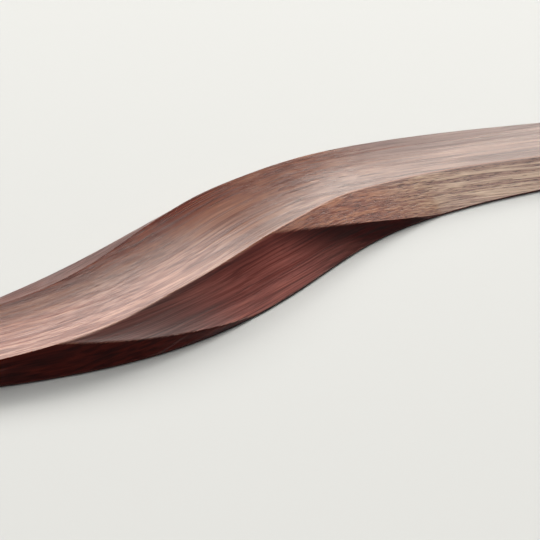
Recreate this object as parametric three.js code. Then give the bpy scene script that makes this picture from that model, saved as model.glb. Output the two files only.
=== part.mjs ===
// A two-armed lazy-S boomerang. Walnut strips stand on edge side by side, are bent round an S-shaped
// form and glued, and the blank is then carved to an airfoil with a blunt leading edge and a thin
// trailing edge. The shape has half-turn symmetry about Z, so what is the leading edge on one arm is
// the trailing edge on the other. +X runs from tip to tip, Z = 0 is the flat underside.
import * as THREE from "three";

// Driving dimensions, in millimetres and degrees.
// "s" runs along the centre line from the middle, "q" across it, and "d" inwards from an outline.
const HALF_LENGTH = 200;
const ELBOW_TURN = 32; // how far each arm turns back from the heading at the middle
const ELBOW_TURN_LENGTH = 53.6;
const ARM_SWEEP = 8; // slow further turn, reached at the tip
const TIP_SWEEP = 12; // turn of the outer arm
const TIP_SWEEP_START = 110;
const ELBOW_WIDTH = 57.4;
const ARM_WIDTH = 30;
const ELBOW_WIDTH_LENGTH = 83;
const TIP_FLARE = 3.5;
const TIP_ROUND = 26; // length of the rounded end of an arm
const CROWN = [[-30, 11.4], [0, 13], [30, 11.4], [60, 8.5], [90, 6.8], [120, 6], [160, 5.6], [200, 5.2]];
const ARM_CAMBER = 0.5; // fall of the crown from the centre line to an outline
const ELBOW_CAMBER = 2.6;
const CAMBER_LENGTH = 60;

const STRIP_COUNT = 17;
const STRIP_THICKNESS = 3.4;
const GLUE_GAP = 0.1;

// One long edge, from the arm where it leads (negative t) to the arm where it trails (positive t).
const LEADING_LIFT = 0.2; // height of the edge's lower corner above the resting plane
const TRAILING_LIFT = 0.2;
const LEADING_RELIEF = 1; // width of the underside's bevel
const TRAILING_RELIEF = 2;
const EDGE_CHANGE = [-20, 70]; // where the edge goes over from leading to trailing
const EDGE_LAND = 0.4; // thickness of the thin edge
const TIP_LIFT = 1.4;
const TIP_LAND = 1.6;
const TIP_CHANGE = [140, 190];
const ARRIS_INSET = [
  [-200, 4], [-150, 2], [-100, 1.5], [-60, 5.8], [-30, 11.9], [0, 13.3],
  [20, 13.3], [45, 14.1], [80, 12.8], [120, 10.1], [160, 9], [200, 9],
];
// The diagonal facet of the elbow is bounded by two creases that start on the arris and run out at
// the edge: one on the leading arm's blunt face, one under the trailing arm's bevel.
const LEADING_CREASE = { arris: -65, edge: -17.2, sag: 0 };
const TRAILING_CREASE = { arris: 4.2, edge: 73.3, sag: 0.7 };
const CREASE_CURVE = 1.6; // above 1, a crease leaves the arris quickly and joins the edge slowly
const FACET_HOLLOW = 0.05; // depth of the diagonal facet's hollow, as a share of its width

// Mesh steps.
const STATION_STEP = 8;
const TIP_STATIONS = [174, 181, 187, 192, 196, 198.5];
const TOP_STEPS = 3;
const BOTTOM_STEPS = 2;
const LEAST_STRIP_WIDTH = 0.15;
const PATH_STEP = 0.5;

const radians = THREE.MathUtils.degToRad;
const blend = (range, x) => THREE.MathUtils.smoothstep(x, range[0], range[1]);
const mix = THREE.MathUtils.lerp;

// A smooth curve through [x, y] points: cubic pieces whose slopes come from the neighbours.
function through(points, x) {
  const last = points.length - 1;
  if (x <= points[0][0]) return points[0][1];
  if (x >= points[last][0]) return points[last][1];
  const i = points.findIndex((p) => p[0] > x) - 1;
  const slope = (k) => {
    const before = points[Math.max(k - 1, 0)];
    const after = points[Math.min(k + 1, last)];
    return (after[1] - before[1]) / (after[0] - before[0]);
  };
  const [x0, y0] = points[i];
  const [x1, y1] = points[i + 1];
  const span = x1 - x0;
  const u = (x - x0) / span;
  const rise = (y1 - y0) * u * u * (3 - 2 * u);
  const start = slope(i) * span * u * (1 - u) * (1 - u);
  const end = slope(i + 1) * span * u * u * (1 - u);
  return y0 + rise + start - end;
}

// --- plan ---------------------------------------------------------------------------------------

function turnBack(s) {
  const elbow = ELBOW_TURN * (1 - Math.exp(-((s / ELBOW_TURN_LENGTH) ** 2)));
  const arm = ARM_SWEEP * (s / HALF_LENGTH) ** 2;
  const tip = TIP_SWEEP * blend([TIP_SWEEP_START, HALF_LENGTH], Math.abs(s));
  return -radians(elbow + arm + tip);
}

// Points of one arm's centre line, turned so that both tips lie on the X axis.
function armPath() {
  const path = [new THREE.Vector2(0, 0)];
  for (let s = PATH_STEP / 2; s < HALF_LENGTH; s += PATH_STEP) {
    const heading = turnBack(s);
    const step = new THREE.Vector2(Math.cos(heading), Math.sin(heading));
    path.push(path[path.length - 1].clone().addScaledVector(step, PATH_STEP));
  }
  const tilt = path[path.length - 1].angle();
  path.forEach((p) => p.rotateAround(new THREE.Vector2(0, 0), -tilt));
  return { path, tilt };
}

const { path: ARM_PATH, tilt: TIP_TILT } = armPath();

// The centre line's point and heading at s. The second arm is the first one turned half round.
function centreLine(s) {
  const along = Math.abs(s) / PATH_STEP;
  const i = Math.min(Math.floor(along), ARM_PATH.length - 2);
  const point = ARM_PATH[i].clone().lerp(ARM_PATH[i + 1], along - i);
  if (s < 0) point.negate();
  return { point, heading: turnBack(s) - TIP_TILT };
}

function halfWidth(s) {
  const elbow = (ELBOW_WIDTH - ARM_WIDTH) * Math.exp(-((s / ELBOW_WIDTH_LENGTH) ** 2));
  const flare = TIP_FLARE * blend([TIP_SWEEP_START, HALF_LENGTH], Math.abs(s));
  const past = Math.max(Math.abs(s) - (HALF_LENGTH - TIP_ROUND), 0) / TIP_ROUND;
  return (0.5 * (ARM_WIDTH + elbow + flare)) * Math.sqrt(Math.max(1 - past * past, 0));
}

// --- carved section -----------------------------------------------------------------------------

function crown(s, q) {
  const camber = mix(ARM_CAMBER, ELBOW_CAMBER, Math.exp(-((s / CAMBER_LENGTH) ** 2)));
  return through(CROWN, Math.abs(s)) - camber * (q / Math.max(halfWidth(s), 1)) ** 2;
}

// Height of the edge's lower corner, and the thickness of its square land, at t along the edge.
function edgeLand(t) {
  const tip = blend(TIP_CHANGE, Math.abs(t));
  const lift = mix(LEADING_LIFT, TRAILING_LIFT, blend(EDGE_CHANGE, t));
  return { low: mix(lift, TIP_LIFT, tip), high: mix(lift + EDGE_LAND, TIP_LIFT + TIP_LAND, tip) };
}

const reliefWidth = (t) => mix(LEADING_RELIEF, TRAILING_RELIEF, blend(EDGE_CHANGE, t));

// The arris where a side's carved face meets the crown, as inset and height.
function arris(t) {
  const inset = Math.min(through(ARRIS_INSET, t), halfWidth(t));
  return { d: inset, z: crown(t, halfWidth(t) - inset) };
}

// The crease's inset and height at t, or null where this edge has no crease there.
function crease(t) {
  for (const { arris: start, edge: end, sag } of [LEADING_CREASE, TRAILING_CREASE]) {
    const u = (t - start) / (end - start);
    if (u <= 0 || u >= 1) continue;
    const top = arris(start);
    const foot = edgeLand(end).high;
    return { d: top.d * (1 - u) ** CREASE_CURVE, z: mix(top.z, foot, u) - 4 * sag * u * (1 - u) };
  }
  return null;
}

// How deep the diagonal facet is hollowed at t and d. It lies above the leading arm's crease and
// below the trailing arm's, and reaches from the edge to the arris where neither crease runs.
function hollow(t, d) {
  if (t <= LEADING_CREASE.arris || t >= TRAILING_CREASE.edge) return 0;
  const low = t < LEADING_CREASE.edge ? crease(t).d : 0;
  const high = t > TRAILING_CREASE.arris ? crease(t).d : arris(t).d;
  const u = THREE.MathUtils.clamp((d - low) / (high - low), 0, 1);
  return FACET_HOLLOW * (high - low) * 4 * u * (1 - u);
}

// The side's carved face: from the land to the crease, if there is one, and to the arris.
function sideHeight(t, d) {
  const top = arris(t);
  if (d >= top.d) return Infinity;
  const knots = [{ d: 0, z: edgeLand(t).high }, crease(t), top].filter(Boolean);
  const i = knots.findIndex((k) => k.d > d);
  const [a, b] = [knots[i - 1], knots[i]];
  return mix(a.z, b.z, (d - a.d) / (b.d - a.d)) - hollow(t, d);
}

function topHeight(s, q) {
  const half = halfWidth(s);
  return Math.min(crown(s, q), sideHeight(s, half + q), sideHeight(-s, half - q));
}

function bottomHeight(s, q) {
  const half = halfWidth(s);
  const relief = (t, d) => edgeLand(t).low * (1 - d / reliefWidth(t));
  return Math.max(0, relief(s, half + q), relief(-s, half - q));
}

// The q of every crease and arris at s, for the top and for the underside.
function topLines(s) {
  const half = halfWidth(s);
  const insets = (t) => [arris(t), crease(t)].filter(Boolean).map((k) => k.d);
  return [...insets(s).map((d) => d - half), ...insets(-s).map((d) => half - d)];
}

const bottomLines = (s) => [reliefWidth(s) - halfWidth(s), halfWidth(s) - reliefWidth(-s)];

// --- strips -------------------------------------------------------------------------------------

// Even columns from low to high, with the nearest inner column moved onto each line between them.
function columns(low, high, steps, lines) {
  const step = (high - low) / steps;
  const qs = Array.from({ length: steps + 1 }, (_, i) => low + i * step);
  for (const line of lines) {
    if (line <= low || line >= high) continue;
    const i = THREE.MathUtils.clamp(Math.round((line - low) / step), 1, steps - 1);
    qs[i] = line;
  }
  return qs.sort((a, b) => a - b);
}

function ring(s, low, high) {
  const half = halfWidth(s);
  const left = Math.max(low, -half);
  const right = Math.min(high, half);
  const { point, heading } = centreLine(s);
  const place = (q, z) => [point.x - Math.sin(heading) * q, point.y + Math.cos(heading) * q, z];
  const top = columns(left, right, TOP_STEPS, topLines(s)).map((q) => place(q, topHeight(s, q)));
  const bottom = columns(left, right, BOTTOM_STEPS, bottomLines(s)).map((q) => place(q, bottomHeight(s, q)));
  return [...top, ...bottom.reverse()];
}

// How far along each arm the blade is still wide enough to hold the strip.
function stripReach(low, high) {
  const inner = Math.max(low, -high, 0);
  let s = 0;
  while (s < HALF_LENGTH && halfWidth(s) - inner > LEAST_STRIP_WIDTH) s += 0.05;
  return s - 0.05;
}

function stations(reach) {
  const arm = TIP_STATIONS.filter((s) => s < reach - 0.5);
  for (let s = STATION_STEP; s < Math.min(reach - 0.5, TIP_STATIONS[0] - 1); s += STATION_STEP) arm.push(s);
  arm.push(reach);
  arm.sort((a, b) => a - b);
  return [...arm.map((s) => -s).reverse(), 0, ...arm];
}

// A closed mesh through rings of equal length, with flat ends.
function skin(rings) {
  const size = rings[0].length;
  const indices = [];
  for (let k = 0; k + 1 < rings.length; k++) {
    for (let j = 0; j < size; j++) {
      const a = k * size + j;
      const b = k * size + ((j + 1) % size);
      indices.push(a, a + size, b + size, a, b + size, b);
    }
  }
  const end = (rings.length - 1) * size;
  const topCorner = TOP_STEPS;
  for (let j = 0; j < size; j++) {
    const next = (j + 1) % size;
    if (j === topCorner || next === topCorner) continue;
    indices.push(topCorner, j, next);
    indices.push(end + topCorner, end + next, end + j);
  }
  const geometry = new THREE.BufferGeometry();
  geometry.setAttribute("position", new THREE.Float32BufferAttribute(rings.flat(2), 3));
  geometry.setIndex(indices);
  geometry.computeVertexNormals();
  return geometry;
}

// Walnut, a little lighter or darker from strip to strip.
function walnut(index) {
  const tone = 0.02 * Math.sin(2.4 * index);
  const color = new THREE.Color().setHSL(0.03, 0.22, 0.42 + tone);
  return new THREE.MeshStandardMaterial({ color, roughness: 0.45, metalness: 0 });
}

function strip(index) {
  const low = (index - STRIP_COUNT / 2) * STRIP_THICKNESS + GLUE_GAP / 2;
  const high = low + STRIP_THICKNESS - GLUE_GAP;
  const rings = stations(stripReach(low, high)).map((s) => ring(s, low, high));
  const mesh = new THREE.Mesh(skin(rings), walnut(index));
  mesh.name = `lamination_${String(index + 1).padStart(2, "0")}`;
  return mesh;
}

const boomerang = new THREE.Group();
for (let index = 0; index < STRIP_COUNT; index++) boomerang.add(strip(index));

export default boomerang;
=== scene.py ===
"""A lazy-S boomerang of bent walnut laminations, carved and oiled, on a pale studio floor.

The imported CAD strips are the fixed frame. Each one is replaced here by a fine strip of the same
shape, worked out from the same driving dimensions, with a procedural walnut that is laid along the
bend: every vertex carries its place in the straight, unbent board.
"""
import math

import bpy
import numpy as np
from mathutils import Matrix, Vector


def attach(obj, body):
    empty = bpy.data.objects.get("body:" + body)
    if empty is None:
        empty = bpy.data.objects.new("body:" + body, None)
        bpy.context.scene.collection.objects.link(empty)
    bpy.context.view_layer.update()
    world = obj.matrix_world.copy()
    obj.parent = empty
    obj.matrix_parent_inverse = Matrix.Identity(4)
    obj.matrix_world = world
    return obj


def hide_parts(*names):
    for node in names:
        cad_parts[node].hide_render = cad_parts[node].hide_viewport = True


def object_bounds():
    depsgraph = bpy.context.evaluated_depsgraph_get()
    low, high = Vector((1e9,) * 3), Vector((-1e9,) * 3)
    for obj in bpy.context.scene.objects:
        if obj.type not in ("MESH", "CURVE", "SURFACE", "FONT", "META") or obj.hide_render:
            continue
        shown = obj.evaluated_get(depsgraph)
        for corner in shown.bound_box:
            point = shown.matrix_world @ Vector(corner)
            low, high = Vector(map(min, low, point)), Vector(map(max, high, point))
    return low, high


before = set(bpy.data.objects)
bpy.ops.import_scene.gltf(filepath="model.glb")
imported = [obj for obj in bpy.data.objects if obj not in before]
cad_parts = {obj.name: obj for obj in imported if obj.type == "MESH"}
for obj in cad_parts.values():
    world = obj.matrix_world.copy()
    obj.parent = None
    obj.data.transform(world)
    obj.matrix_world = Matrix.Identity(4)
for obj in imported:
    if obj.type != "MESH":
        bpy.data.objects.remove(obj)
cad_low, cad_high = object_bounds()

MM = 0.001

# --- driving dimensions, in millimetres and degrees ----------------------------------------------
# s runs along the centre line from the middle, q across it, d inwards from an outline, and t along
# one long edge from the arm where it leads (negative) to the arm where it trails (positive).
HALF_LENGTH = 200.0
ELBOW_TURN = 32.0
ELBOW_TURN_LENGTH = 53.6
ARM_SWEEP = 8.0
TIP_SWEEP = 12.0
TIP_SWEEP_START = 110.0
ELBOW_WIDTH = 57.4
ARM_WIDTH = 30.0
ELBOW_WIDTH_LENGTH = 83.0
TIP_FLARE = 3.5
TIP_ROUND = 26.0
CROWN = [(-30, 11.4), (0, 13), (30, 11.4), (60, 8.5), (90, 6.8), (120, 6), (160, 5.6), (200, 5.2)]
ARM_CAMBER = 0.5
ELBOW_CAMBER = 2.6
CAMBER_LENGTH = 60.0

STRIP_COUNT = 17
STRIP_THICKNESS = 3.4

LEADING_LIFT = 0.2
TRAILING_LIFT = 0.2
LEADING_RELIEF = 1.0
TRAILING_RELIEF = 2.0
EDGE_CHANGE = (-20.0, 70.0)
EDGE_LAND = 0.4
TIP_LIFT = 1.4
TIP_LAND = 1.6
TIP_CHANGE = (140.0, 190.0)
ARRIS_INSET = [
    (-200, 4), (-150, 2), (-100, 1.5), (-60, 5.8), (-30, 11.9), (0, 13.3),
    (20, 13.3), (45, 14.1), (80, 12.8), (120, 10.1), (160, 9), (200, 9),
]
LEADING_CREASE = (-65.0, -17.2, 0.0)  # t on the arris, t at the edge, sag
TRAILING_CREASE = (4.2, 73.3, 0.7)
CREASE_CURVE = 1.6
FACET_HOLLOW = 0.05

# --- fine mesh -----------------------------------------------------------------------------------
STATION_STEP = 0.9
TIP_STEPS = 60
TOP_STEPS = 12
BOTTOM_STEPS = 4
WALL_STEPS = 2
LEAST_STRIP_WIDTH = 0.06
PATH_STEP = 0.25
ABSENT = 1000.0
CARVED_DEPTH = 0.15  # how far below the crown a surface counts as wholly carved
LEAST_HOLLOW = 1e-4  # depth from which a place counts as on the diagonal facet
SHARP_ANGLE = 28  # degrees
RIM_FADE = 0.03  # how fast the crease's bright rim fades along it, mm per mm
ARRIS_EASE = 0.22  # height over which two carved faces are rounded into each other


def smoothstep(low, high, x):
    u = np.clip((np.asarray(x, float) - low) / (high - low), 0.0, 1.0)
    return u * u * (3.0 - 2.0 * u)


def mix(a, b, u):
    return a + (b - a) * u


def through(points, x):
    """A smooth curve through (x, y) points: cubic pieces whose slopes come from the neighbours."""
    xs, ys = np.array(points, float).T
    before = np.maximum(np.arange(len(xs)) - 1, 0)
    after = np.minimum(np.arange(len(xs)) + 1, len(xs) - 1)
    slopes = (ys[after] - ys[before]) / (xs[after] - xs[before])
    x = np.clip(np.asarray(x, float), xs[0], xs[-1])
    i = np.clip(np.searchsorted(xs, x, side="right") - 1, 0, len(xs) - 2)
    span = xs[i + 1] - xs[i]
    u = (x - xs[i]) / span
    rise = (ys[i + 1] - ys[i]) * u * u * (3 - 2 * u)
    start = slopes[i] * span * u * (1 - u) ** 2
    end = slopes[i + 1] * span * u * u * (1 - u)
    return ys[i] + rise + start - end


# --- plan ----------------------------------------------------------------------------------------
def turn_back(s):
    elbow = ELBOW_TURN * (1 - np.exp(-((s / ELBOW_TURN_LENGTH) ** 2)))
    arm = ARM_SWEEP * (s / HALF_LENGTH) ** 2
    tip = TIP_SWEEP * smoothstep(TIP_SWEEP_START, HALF_LENGTH, np.abs(s))
    return -np.radians(elbow + arm + tip)


def arm_path():
    """One arm's centre line, and the angle that its tip is turned by to lie on the X axis."""
    s = np.arange(PATH_STEP / 2, HALF_LENGTH, PATH_STEP)
    x = np.concatenate([[0.0], np.cumsum(np.cos(turn_back(s))) * PATH_STEP])
    y = np.concatenate([[0.0], np.cumsum(np.sin(turn_back(s))) * PATH_STEP])
    tilt = math.atan2(y[-1], x[-1])
    turned_x = x * math.cos(tilt) + y * math.sin(tilt)
    turned_y = y * math.cos(tilt) - x * math.sin(tilt)
    return turned_x, turned_y, tilt


ARM_X, ARM_Y, TIP_TILT = arm_path()
ARM_S = np.arange(len(ARM_X)) * PATH_STEP


def place(s, q, z):
    """Points of the bent blade in metres, from places in the straight board."""
    sign = np.where(s < 0, -1.0, 1.0)
    heading = turn_back(s) - TIP_TILT
    x = sign * np.interp(np.abs(s), ARM_S, ARM_X) - np.sin(heading) * q
    y = sign * np.interp(np.abs(s), ARM_S, ARM_Y) + np.cos(heading) * q
    return np.stack([x, y, z], axis=-1) * MM


def half_width(s):
    elbow = (ELBOW_WIDTH - ARM_WIDTH) * np.exp(-((s / ELBOW_WIDTH_LENGTH) ** 2))
    flare = TIP_FLARE * smoothstep(TIP_SWEEP_START, HALF_LENGTH, np.abs(s))
    past = np.maximum(np.abs(s) - (HALF_LENGTH - TIP_ROUND), 0) / TIP_ROUND
    return 0.5 * (ARM_WIDTH + elbow + flare) * np.sqrt(np.maximum(1 - past * past, 0))


# --- carved section ------------------------------------------------------------------------------
def crown(s, q):
    camber = mix(ARM_CAMBER, ELBOW_CAMBER, np.exp(-((s / CAMBER_LENGTH) ** 2)))
    return through(CROWN, np.abs(s)) - camber * (q / np.maximum(half_width(s), 1)) ** 2


def edge_land(t):
    tip = smoothstep(*TIP_CHANGE, np.abs(t))
    lift = mix(LEADING_LIFT, TRAILING_LIFT, smoothstep(*EDGE_CHANGE, t))
    return mix(lift, TIP_LIFT, tip), mix(lift + EDGE_LAND, TIP_LIFT + TIP_LAND, tip)


def relief_width(t):
    return mix(LEADING_RELIEF, TRAILING_RELIEF, smoothstep(*EDGE_CHANGE, t))


def arris(t):
    inset = np.minimum(through(ARRIS_INSET, t), half_width(t))
    return inset, crown(t, half_width(t) - inset)


def crease(t, kind):
    """Inset and height of one of the two creases at t, and whether t is on it."""
    start, end, sag = kind
    u = (np.asarray(t, float) - start) / (end - start)
    on = (u > 0) & (u < 1)
    u = np.clip(u, 0.0, 1.0)
    top_d, top_z = arris(np.array(start))
    foot = edge_land(np.array(end))[1]
    return top_d * (1 - u) ** CREASE_CURVE, mix(top_z, foot, u) - 4 * sag * u * (1 - u), on


def soft_min(a, b, ease):
    """The lower of two heights, with the ridge between them eased."""
    near = np.maximum(ease - np.abs(a - b), 0) / ease
    return np.minimum(a, b) - near * near * ease * 0.25


def hollow(t, d):
    """Depth of the hollow of the diagonal facet, between the leading and the trailing crease."""
    lead, _, on_lead = crease(t, LEADING_CREASE)
    trail, _, on_trail = crease(t, TRAILING_CREASE)
    low = np.where(on_lead, lead, 0.0)
    high = np.where(on_trail, trail, arris(t)[0])
    u = np.clip((d - low) / np.maximum(high - low, 1e-6), 0, 1)
    depth = FACET_HOLLOW * (high - low) * 4 * u * (1 - u)
    return np.where((t > LEADING_CREASE[0]) & (t < TRAILING_CREASE[1]), depth, 0.0)


def side_height(t, d):
    """The side's carved face: the land, the crease if there is one, and the arris."""
    top_d, top_z = arris(t)
    foot = edge_land(t)[1]
    height = mix(foot, top_z, d / np.maximum(top_d, 1e-6))
    for kind in (LEADING_CREASE, TRAILING_CREASE):
        cd, cz, on = crease(t, kind)
        cd = np.maximum(cd, 1e-6)
        lower = foot + (cz - foot) * d / cd
        upper = cz + (top_z - cz) * (d - cd) / np.maximum(top_d - cd, 1e-6)
        height = np.where(on, np.where(d < cd, lower, upper), height)
    return height - hollow(t, d)


def top_height(s, q):
    half = half_width(s)
    sides = np.minimum(side_height(s, half + q), side_height(-s, half - q))
    return soft_min(crown(s, q), sides, ARRIS_EASE)


def bottom_height(s, q):
    half = half_width(s)
    near = edge_land(s)[0] * (1 - (half + q) / relief_width(s))
    far = edge_land(-s)[0] * (1 - (half - q) / relief_width(-s))
    return np.maximum(0.0, np.maximum(near, far))


def top_lines(s):
    """q of every arris and crease at each station, far outside the blade where there is none."""
    half = half_width(s)
    lines = []
    for t, sign in ((s, 1.0), (-s, -1.0)):
        lines.append(sign * (arris(t)[0] - half))
        for kind in (LEADING_CREASE, TRAILING_CREASE):
            inset, _, on = crease(t, kind)
            lines.append(np.where(on, sign * (inset - half), ABSENT))
    return lines


def bottom_lines(s):
    half = half_width(s)
    return [relief_width(s) - half, half - relief_width(-s)]


# --- strips --------------------------------------------------------------------------------------
def columns(low, high, steps, lines):
    """Even columns from low to high, with the nearest inner column moved onto each line."""
    qs = low[:, None] + (high - low)[:, None] * np.linspace(0, 1, steps + 1)
    for line in lines:
        rows = np.nonzero((low < line) & (line < high))[0]
        share = (line[rows] - low[rows]) / (high[rows] - low[rows])
        qs[rows, np.clip(np.rint(share * steps), 1, steps - 1).astype(int)] = line[rows]
    return np.sort(qs, axis=1)


def strip_reach(low, high):
    """How far along each arm the blade is still wide enough to hold the strip."""
    inner = max(low, -high, 0.0)
    s = np.arange(0.0, HALF_LENGTH, 0.02)
    held = half_width(s) - inner > LEAST_STRIP_WIDTH
    return float(s[:np.argmin(held)][-1]) if not held.all() else float(s[-1])


def strip_stations(reach):
    """Stations along one strip, closing up where the rounded end of an arm cuts it."""
    round_start = min(reach, HALF_LENGTH - TIP_ROUND)
    arm = np.linspace(0, round_start, int(round_start / STATION_STEP) + 1)[1:]
    if reach > round_start:
        ease = np.sin(np.linspace(0, math.pi / 2, TIP_STEPS + 1))[1:]
        arm = np.concatenate([arm, round_start + (reach - round_start) * ease])
    return np.concatenate([-arm[::-1], [0.0], arm])


def strip_rings(low, high):
    """Board coordinates (s, q, z) of every ring of a strip, from one end to the other."""
    s = strip_stations(strip_reach(low, high))
    half = half_width(s)
    left, right = np.maximum(low, -half), np.minimum(high, half)
    top_q = columns(left, right, TOP_STEPS, top_lines(s))
    low_q = columns(left, right, BOTTOM_STEPS, bottom_lines(s))
    top_z = top_height(s[:, None], top_q)
    low_z = bottom_height(s[:, None], low_q)
    wall = np.arange(1, WALL_STEPS) / WALL_STEPS
    far_z = mix(top_z[:, -1:], low_z[:, -1:], wall)
    near_z = mix(low_z[:, :1], top_z[:, :1], wall)
    far_q = np.repeat(top_q[:, -1:], len(wall), axis=1)
    near_q = np.repeat(top_q[:, :1], len(wall), axis=1)
    q = np.hstack([top_q, far_q, low_q[:, ::-1], near_q])
    z = np.hstack([top_z, far_z, low_z[:, ::-1], near_z])
    return np.stack([np.broadcast_to(s[:, None], q.shape), q, z], axis=-1)


def line_gap(s, q):
    """How far q lies from the nearest arris, or from the trailing crease near its top, in mm."""
    half = half_width(s)
    gap = np.full(np.shape(s), ABSENT)
    for t, inset in ((s, half + q), (-s, half - q)):
        gap = np.minimum(gap, np.abs(inset - arris(t)[0]))
        crease_inset, _, on = crease(t, TRAILING_CREASE)
        faded = np.abs(inset - crease_inset) + RIM_FADE * (t - TRAILING_CREASE[0])
        gap = np.where(on, np.minimum(gap, faded), gap)
    return gap


def carving(s, q, z):
    """1 where the surface is cut below the crowned top, and 0 on the top itself."""
    return np.clip((crown(s, q) - z - ARRIS_EASE / 2) / CARVED_DEPTH, 0, 1)


def diagonal(s, q):
    """1 on the hollow diagonal facet that crosses each side of the elbow, and 0 elsewhere."""
    half = half_width(s)
    inside = np.maximum(hollow(s, half + q), hollow(-s, half - q))
    return (inside > LEAST_HOLLOW).astype(float)


def strip_mesh(name, rings):
    count, size, _ = rings.shape
    board = rings.reshape(-1, 3)
    points = place(board[:, 0], board[:, 1], board[:, 2])
    k, j = np.meshgrid(np.arange(count - 1), np.arange(size), indexing="ij")
    a = (k * size + j).ravel()
    b = (k * size + (j + 1) % size).ravel()
    faces = np.stack([a, a + size, b + size, b], axis=-1).tolist()
    faces.append(list(range(size)))
    faces.append([(count - 1) * size + i for i in reversed(range(size))])
    mesh = bpy.data.meshes.new(name)
    mesh.from_pydata(points.tolist(), [], faces)
    grain = mesh.attributes.new("board_place", "FLOAT_VECTOR", "POINT")
    grain.data.foreach_set("vector", (board * MM).astype(np.float32).ravel())
    s, q, z = board.T
    labels = {"line_gap": line_gap(s, q), "carving": carving(s, q, z), "diagonal": diagonal(s, q)}
    for label, value in labels.items():
        attribute = mesh.attributes.new(label, "FLOAT", "POINT")
        attribute.data.foreach_set("value", value.astype(np.float32))
    return mesh


def shade(mesh):
    """Smooth faces with sharp edges where two carved faces or a wall meet."""
    mesh.polygons.foreach_set("use_smooth", [True] * len(mesh.polygons))
    mesh.set_sharp_from_angle(angle=math.radians(SHARP_ANGLE))
    mesh.update()


def make_strip(index, material):
    low = (index - STRIP_COUNT / 2) * STRIP_THICKNESS
    name = f"walnut_strip_{index + 1:02d}"
    mesh = strip_mesh(name, strip_rings(low, low + STRIP_THICKNESS))
    board = mesh.attributes.new("board_number", "FLOAT", "POINT")
    board.data.foreach_set("value", [float(index)] * len(mesh.vertices))
    shade(mesh)
    mesh.materials.append(material)
    strip = bpy.data.objects.new(name, mesh)
    bpy.context.scene.collection.objects.link(strip)
    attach(strip, "root")
    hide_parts(f"lamination_{index + 1:02d}")


# --- materials -----------------------------------------------------------------------------------
class Nodes:
    """Short forms for building a node tree."""

    def __init__(self, name):
        self.material = bpy.data.materials.new(name)
        self.material.use_nodes = True
        self.tree = self.material.node_tree
        self.shader = self.tree.nodes["Principled BSDF"]

    def add(self, kind, inputs=(), **settings):
        node = self.tree.nodes.new(kind)
        for key, value in settings.items():
            setattr(node, key, value)
        for key, value in dict(inputs).items():
            self.feed(node.inputs[key], value)
        return node

    def feed(self, socket, value):
        if isinstance(value, bpy.types.NodeSocket):
            self.tree.links.new(value, socket)
        else:
            socket.default_value = value

    def math(self, operation, a, b=0.0, clamp=False):
        node = self.add("ShaderNodeMath", operation=operation, use_clamp=clamp)
        for socket, value in zip(node.inputs, (a, b)):
            self.feed(socket, value)
        return node.outputs[0]

    def stretch(self, vector, scale, offset=(0, 0, 0)):
        scaled = self.add("ShaderNodeVectorMath", {0: vector, 1: scale}, operation="MULTIPLY")
        moved = {0: scaled.outputs[0], 1: offset}
        return self.add("ShaderNodeVectorMath", moved, operation="ADD").outputs[0]

    def noise(self, vector, detail, rough):
        inputs = {"Vector": vector, "Scale": 1.0, "Detail": detail, "Roughness": rough}
        return self.add("ShaderNodeTexNoise", inputs).outputs["Fac"]

    def ramp(self, value, low, high):
        """0 at low and 1 at high, which may be the smaller of the two."""
        inputs = {"Value": value, "From Min": low, "From Max": high}
        return self.add("ShaderNodeMapRange", inputs, interpolation_type="SMOOTHSTEP").outputs[0]

    def mix(self, factor, a, b, blend="MIX"):
        node = self.add("ShaderNodeMix", data_type="RGBA", blend_type=blend)
        self.feed(node.inputs["Factor"], factor)
        self.feed(node.inputs["A"], a)
        self.feed(node.inputs["B"], b)
        return node.outputs["Result"]


# Linear colours of oiled walnut. Some of them are tints of one region, which stay under any light; of
# these, some are painted shade or painted light, as marked.
OUTER = (0.150, 0.062, 0.044, 1)  # the polished crowned top
ROSE = (0.345, 0.150, 0.118, 1)  # a paler flame in it, along the near half of one arm
SMOKE = (0.125, 0.068, 0.062, 1)  # greyer bands along the far half of both arms
PAINTED_FAR_SHADE = (0.095, 0.022, 0.014, 1)  # painted shade: the far edge of the arm with the flame, darker where the top turns away from the light
CUT = (0.300, 0.122, 0.083, 1)  # the carved bevels of the near side
PALE_AND_LIT_CUT = (0.450, 0.255, 0.180, 1)  # and their pale wood out on the other arm, lighter there also as painted light
MAROON = (0.350, 0.098, 0.082, 1)  # the diagonal facet
PAINTED_FACET_END_SHADE = (0.150, 0.040, 0.034, 1)  # painted shade at its two ends
PORE = (0.060, 0.016, 0.013, 1)
WORN_AND_HIGHLIGHT = (0.46, 0.17, 0.095, 1)  # rubbed edges between two carved faces, and a painted highlight along them
PAINTED_STEEP_SHADE = (0.30, 0.085, 0.085, 1)  # painted shade: multiplies the colour of a standing face
POLISHED = 0.18  # roughness of the top
SANDED = 0.28  # and of the carved bevels
WOOD_IOR = 1.45
DARK_AND_LIGHT = {  # what each scale of the grain multiplies the colour by
    "band": ((0.84, 0.78, 0.79, 1), (1.15, 1.20, 1.19, 1)),
    "streak": ((0.66, 0.53, 0.53, 1), (1.24, 1.34, 1.30, 1)),
    "line": ((0.66, 0.52, 0.52, 1), (1.12, 1.16, 1.15, 1)),
    "fibre": ((0.80, 0.72, 0.71, 1), (1.20, 1.26, 1.26, 1)),
}

# How fast each scale of the grain varies along, across and through the board, per metre.
DRIFT_SCALE = (11, 40, 40)
BAND_SCALE = (7, 260, 260)
STREAK_SCALE = (9, 800, 800)
LINE_SCALE = (6, 1600, 1600)
FIBRE_SCALE = (45, 2600, 2600)
PORE_SCALE = (380, 3000, 3000)
BOARD_SHIFT = 0.9  # how far the streaks and lines of one strip are moved against the next
WANDER = 0.004  # metres


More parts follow.
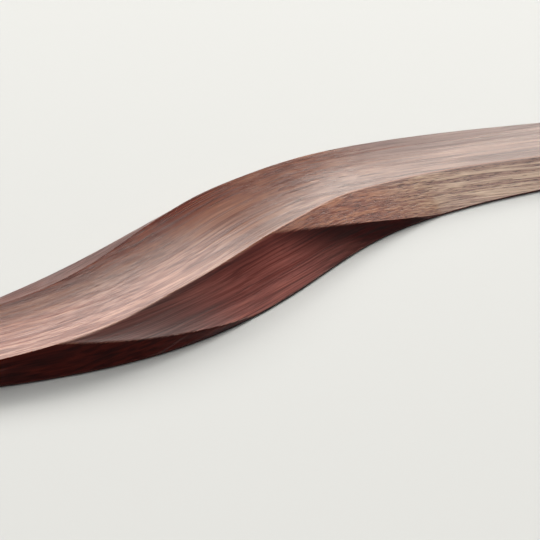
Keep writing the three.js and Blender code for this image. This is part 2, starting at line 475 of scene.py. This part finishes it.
def walnut():
    n = Nodes("oiled_walnut")
    place_in_board = n.add("ShaderNodeAttribute", attribute_name="board_place").outputs["Vector"]
    number = n.add("ShaderNodeAttribute", attribute_name="board_number").outputs["Fac"]
    gap = n.add("ShaderNodeAttribute", attribute_name="line_gap").outputs["Fac"]
    carved = n.add("ShaderNodeAttribute", attribute_name="carving").outputs["Fac"]
    along, across, _ = n.add("ShaderNodeSeparateXYZ", {0: place_in_board}).outputs
    normal = n.add("ShaderNodeNewGeometry").outputs["Normal"]
    upward = n.add("ShaderNodeSeparateXYZ", {0: normal}).outputs["Z"]

    apart = n.add("ShaderNodeCombineXYZ", {"X": n.math("MULTIPLY", number, BOARD_SHIFT)}).outputs[0]
    drift = n.noise(n.stretch(place_in_board, DRIFT_SCALE), 2.0, 0.55)
    sideways = n.math("MULTIPLY", n.math("SUBTRACT", drift, 0.5), WANDER)
    wander = n.add("ShaderNodeCombineXYZ", {"Y": sideways, "Z": sideways}).outputs[0]
    grain = n.add("ShaderNodeVectorMath", {0: place_in_board, 1: wander}, operation="ADD").outputs[0]

    broad = n.noise(n.stretch(grain, BAND_SCALE), 2.0, 0.5)
    streaks = n.noise(n.stretch(grain, STREAK_SCALE, apart), 2.0, 0.6)
    lines = n.noise(n.stretch(grain, LINE_SCALE, apart), 1.0, 0.6)
    fibres = n.noise(n.stretch(grain, FIBRE_SCALE), 3.0, 0.6)

    flame = n.math("MULTIPLY", n.ramp(along, 0.012, -0.045), n.ramp(across, 0.004, -0.011))
    flame = n.math("MULTIPLY", flame, n.math("ADD", 0.55, n.math("MULTIPLY", broad, 0.9)), clamp=True)
    out_on_an_arm = n.ramp(n.math("ABSOLUTE", along), 0.045, 0.075)
    far_out = n.math("MULTIPLY", out_on_an_arm, n.ramp(across, 0.001, 0.010))
    smoky = n.math("MULTIPLY", far_out, n.ramp(broad, 0.36, 0.56))
    colour = n.mix(flame, OUTER, ROSE)
    colour = n.mix(smoky, colour, SMOKE)
    # Painted shade: the far edge of one arm is darkened, where the top turns away from the light.
    far_shade_mask = n.math("MULTIPLY", n.ramp(along, 0.030, 0.0), n.ramp(across, -0.002, 0.016))
    colour = n.mix(far_shade_mask, colour, PAINTED_FAR_SHADE)
    facet = n.add("ShaderNodeAttribute", attribute_name="diagonal").outputs["Fac"]
    near = n.math("MULTIPLY", carved, n.ramp(across, 0.002, -0.004))
    # Painted shade: the diagonal facet is darkened towards both ends.
    facet_end_shade_mask = n.math("MULTIPLY", n.ramp(along, -0.040, -0.012), n.ramp(along, 0.030, 0.0))
    maroon = n.mix(facet_end_shade_mask, PAINTED_FACET_END_SHADE, MAROON)
    # Out on the other arm the bevels are paler: pale wood and painted light.
    cut = n.mix(n.ramp(along, 0.048, 0.080), CUT, PALE_AND_LIT_CUT)
    colour = n.mix(near, colour, n.mix(facet, cut, maroon))

    tones = (
        ("band", n.ramp(broad, 0.36, 0.64)),
        ("streak", n.ramp(streaks, 0.34, 0.64)),
        ("line", n.ramp(lines, 0.36, 0.54)),
        ("fibre", n.ramp(fibres, 0.3, 0.7)),
    )
    for label, share in tones:
        colour = n.mix(1.0, colour, n.mix(share, *DARK_AND_LIGHT[label]), "MULTIPLY")

    pore_noise = n.noise(n.stretch(grain, PORE_SCALE), 1.0, 0.5)
    pore = n.math("MULTIPLY", n.ramp(pore_noise, 0.54, 0.62), n.ramp(streaks, 0.62, 0.40))
    pore = n.math("MULTIPLY", pore, n.math("ADD", n.math("MULTIPLY", carved, 0.75), 0.10))
    pore = n.math("MULTIPLY", pore, n.ramp(upward, 0.60, 0.72))
    pore = n.math("MULTIPLY", pore, n.math("SUBTRACT", 1.0, n.math("MULTIPLY", facet, 0.75)))
    colour = n.mix(pore, colour, PORE)
    # A bright line along the near arrises and the top of the trailing crease: rubbed wood and a painted
    # highlight.
    worn_and_highlight_mask = n.math("MULTIPLY", n.ramp(gap, 0.34, 0.08), n.ramp(across, 0.002, -0.004))
    worn_and_highlight_mask = n.math("MULTIPLY", worn_and_highlight_mask, 0.5)
    colour = n.mix(worn_and_highlight_mask, colour, WORN_AND_HIGHLIGHT)
    # Painted shade: standing faces are darkened by their slope.
    steep_shade_factor = n.mix(n.ramp(upward, 0.77, 0.65), (1, 1, 1, 1), PAINTED_STEEP_SHADE)
    colour = n.mix(1.0, colour, steep_shade_factor, "MULTIPLY")
    n.feed(n.shader.inputs["Base Color"], colour)

    rough = n.math("ADD", POLISHED, n.math("MULTIPLY", carved, SANDED - POLISHED))
    rough = n.math("ADD", rough, n.math("MULTIPLY", n.ramp(streaks, 0.62, 0.36), 0.10))
    rough = n.math("ADD", rough, n.math("MULTIPLY", smoky, 0.14))
    rough = n.math("ADD", rough, n.math("MULTIPLY", facet, 0.08))
    n.feed(n.shader.inputs["Roughness"], rough)
    n.shader.inputs["IOR"].default_value = WOOD_IOR
    relief = n.math("SUBTRACT", n.math("MULTIPLY", fibres, 0.3), pore)
    waves = {"Height": streaks, "Strength": 0.18, "Distance": 0.0003}
    waves = n.add("ShaderNodeBump", waves).outputs[0]
    fine = {"Height": relief, "Strength": 0.5, "Distance": 0.0001, "Normal": waves}
    n.feed(n.shader.inputs["Normal"], n.add("ShaderNodeBump", fine).outputs[0])
    return n.material


FLOOR_COLOUR = (0.635, 0.642, 0.656, 1)
FLOOR_ROUGHNESS = 0.9
FLOOR_SPECULAR = 0.1


def paper():
    n = Nodes("pale_floor")
    n.shader.inputs["Base Color"].default_value = FLOOR_COLOUR
    n.shader.inputs["Roughness"].default_value = FLOOR_ROUGHNESS
    n.shader.inputs["Specular IOR Level"].default_value = FLOOR_SPECULAR
    return n.material


# --- studio --------------------------------------------------------------------------------------
CAMERA_AZIMUTH = -21.8  # degrees, seen from this side of the blade
CAMERA_ELEVATION = 30.0
CAMERA_DISTANCE = 0.686
PIXELS_PER_METRE = 3500.0  # at the middle of the blade, in a picture 540 wide
PICTURE = 540
CENTRE_RIGHT = -0.01431  # where the middle of the blade lies, right of and above the picture's centre
CENTRE_UP = 0.00302
SENSOR = 36.0
CLIP = (0.05, 30)

FLOOR_SIZE = 12.0
FLOOR_GAP = 0.00001  # keeps the floor from coinciding with the underside

# Two softboxes hang level in the same place, one seen only as gloss and one only as light.
CEILING_BOX = (-1.05, 1.45, 0.7, 3.45, 2.5)  # left, right, near, far and height
CEILING_RADIANCE = 5.8
OVERHEAD_RADIANCE = 4.2
# The others face the blade: azimuth and elevation of the middle, width and height, in degrees.
SIDE_BOX = (16.5, 22.0, 20.0, 25.0)
SIDE_RADIANCE = 4.3
LOW_BOX = (9.0, 22.0, 46.0, 15.0)  # light only, for the soft shadow in front
LOW_RADIANCE = 32.0
FRONT_BOX = (180.0, 60.0, 40.0, 40.0)  # light only, a weak fill from the front
FRONT_RADIANCE = 0.3
GLOSS_BOX = (50.0, 68.0, 22.0, 20.0)  # gloss only
GLOSS_RADIANCE = 4.0
BOX_DISTANCE = 5.0
LIGHT_COLOUR = (1.0, 0.98, 0.91)
WORLD_COLOUR = (0.95, 0.98, 1.0, 1)
WORLD_STRENGTH = 0.06


def camera_axes(azimuth, elevation):
    a, e = math.radians(azimuth), math.radians(elevation)
    back = Vector((math.sin(a) * math.cos(e), -math.cos(a) * math.cos(e), math.sin(e)))
    right = Vector((math.cos(a), math.sin(a), 0))
    return right, back.cross(right), back


def make_camera():
    data = bpy.data.cameras.new("camera")
    data.sensor_width = SENSOR
    data.lens = SENSOR * PIXELS_PER_METRE * CAMERA_DISTANCE / PICTURE
    data.clip_start, data.clip_end = CLIP
    camera = bpy.data.objects.new("camera", data)
    bpy.context.scene.collection.objects.link(camera)
    right, up, back = camera_axes(CAMERA_AZIMUTH, CAMERA_ELEVATION)
    place_at = back * CAMERA_DISTANCE - right * CENTRE_RIGHT - up * CENTRE_UP
    camera.matrix_world = Matrix.Translation(place_at) @ Matrix((right, up, back)).transposed().to_4x4()
    bpy.context.scene.camera = camera


def make_floor():
    mesh = bpy.data.meshes.new("floor")
    half = FLOOR_SIZE / 2
    corners = [(-half, -half, 0), (half, -half, 0), (half, half, 0), (-half, half, 0)]
    mesh.from_pydata(corners, [], [(0, 1, 2, 3)])
    mesh.materials.append(paper())
    floor = bpy.data.objects.new("floor", mesh)
    floor.location.z = cad_low.z - FLOOR_GAP
    bpy.context.scene.collection.objects.link(floor)


def area_light(name, width, height, radiance, place_at, axes):
    data = bpy.data.lights.new(name, "AREA")
    data.shape = "RECTANGLE"
    data.size, data.size_y = width, height
    data.energy = radiance * math.pi * width * height
    data.color = LIGHT_COLOUR
    light = bpy.data.objects.new(name, data)
    bpy.context.scene.collection.objects.link(light)
    light.matrix_world = Matrix.Translation(place_at) @ Matrix(axes).transposed().to_4x4()
    light.visible_camera = False
    return light


def level_box(name, radiance):
    """A softbox that hangs level above and behind the blade, and shines straight down."""
    left, right, near, far, height = CEILING_BOX
    across, up, away = camera_axes(CAMERA_AZIMUTH + 180, 0)
    place_at = away * (near + far) / 2 - across * (left + right) / 2 + up * height
    return area_light(name, right - left, far - near, radiance, place_at, (-across, away, up))


def facing_box(name, box, radiance):
    """A softbox that faces the blade; azimuth 0 is straight behind it, seen from the camera."""
    azimuth, elevation, wide, tall = box
    across, up, away = camera_axes(CAMERA_AZIMUTH + 180 - azimuth, elevation)
    width = 2 * BOX_DISTANCE * math.tan(math.radians(wide / 2))
    height = 2 * BOX_DISTANCE * math.tan(math.radians(tall / 2))
    return area_light(name, width, height, radiance, away * BOX_DISTANCE, (across, up, away))


def make_light():
    world = bpy.data.worlds.new("studio")
    world.use_nodes = True
    background = world.node_tree.nodes["Background"]
    background.inputs["Color"].default_value = WORLD_COLOUR
    background.inputs["Strength"].default_value = WORLD_STRENGTH
    bpy.context.scene.world = world
    level_box("ceiling_box", CEILING_RADIANCE).visible_diffuse = False
    level_box("overhead_box", OVERHEAD_RADIANCE).visible_glossy = False
    facing_box("side_box", SIDE_BOX, SIDE_RADIANCE)
    facing_box("low_box", LOW_BOX, LOW_RADIANCE).visible_glossy = False
    facing_box("front_box", FRONT_BOX, FRONT_RADIANCE).visible_glossy = False
    facing_box("gloss_box", GLOSS_BOX, GLOSS_RADIANCE).visible_diffuse = False


bpy.context.scene.view_settings.view_transform = "Standard"
make_camera()
make_floor()
make_light()
wood = walnut()
for strip_index in range(STRIP_COUNT):
    make_strip(strip_index, wood)
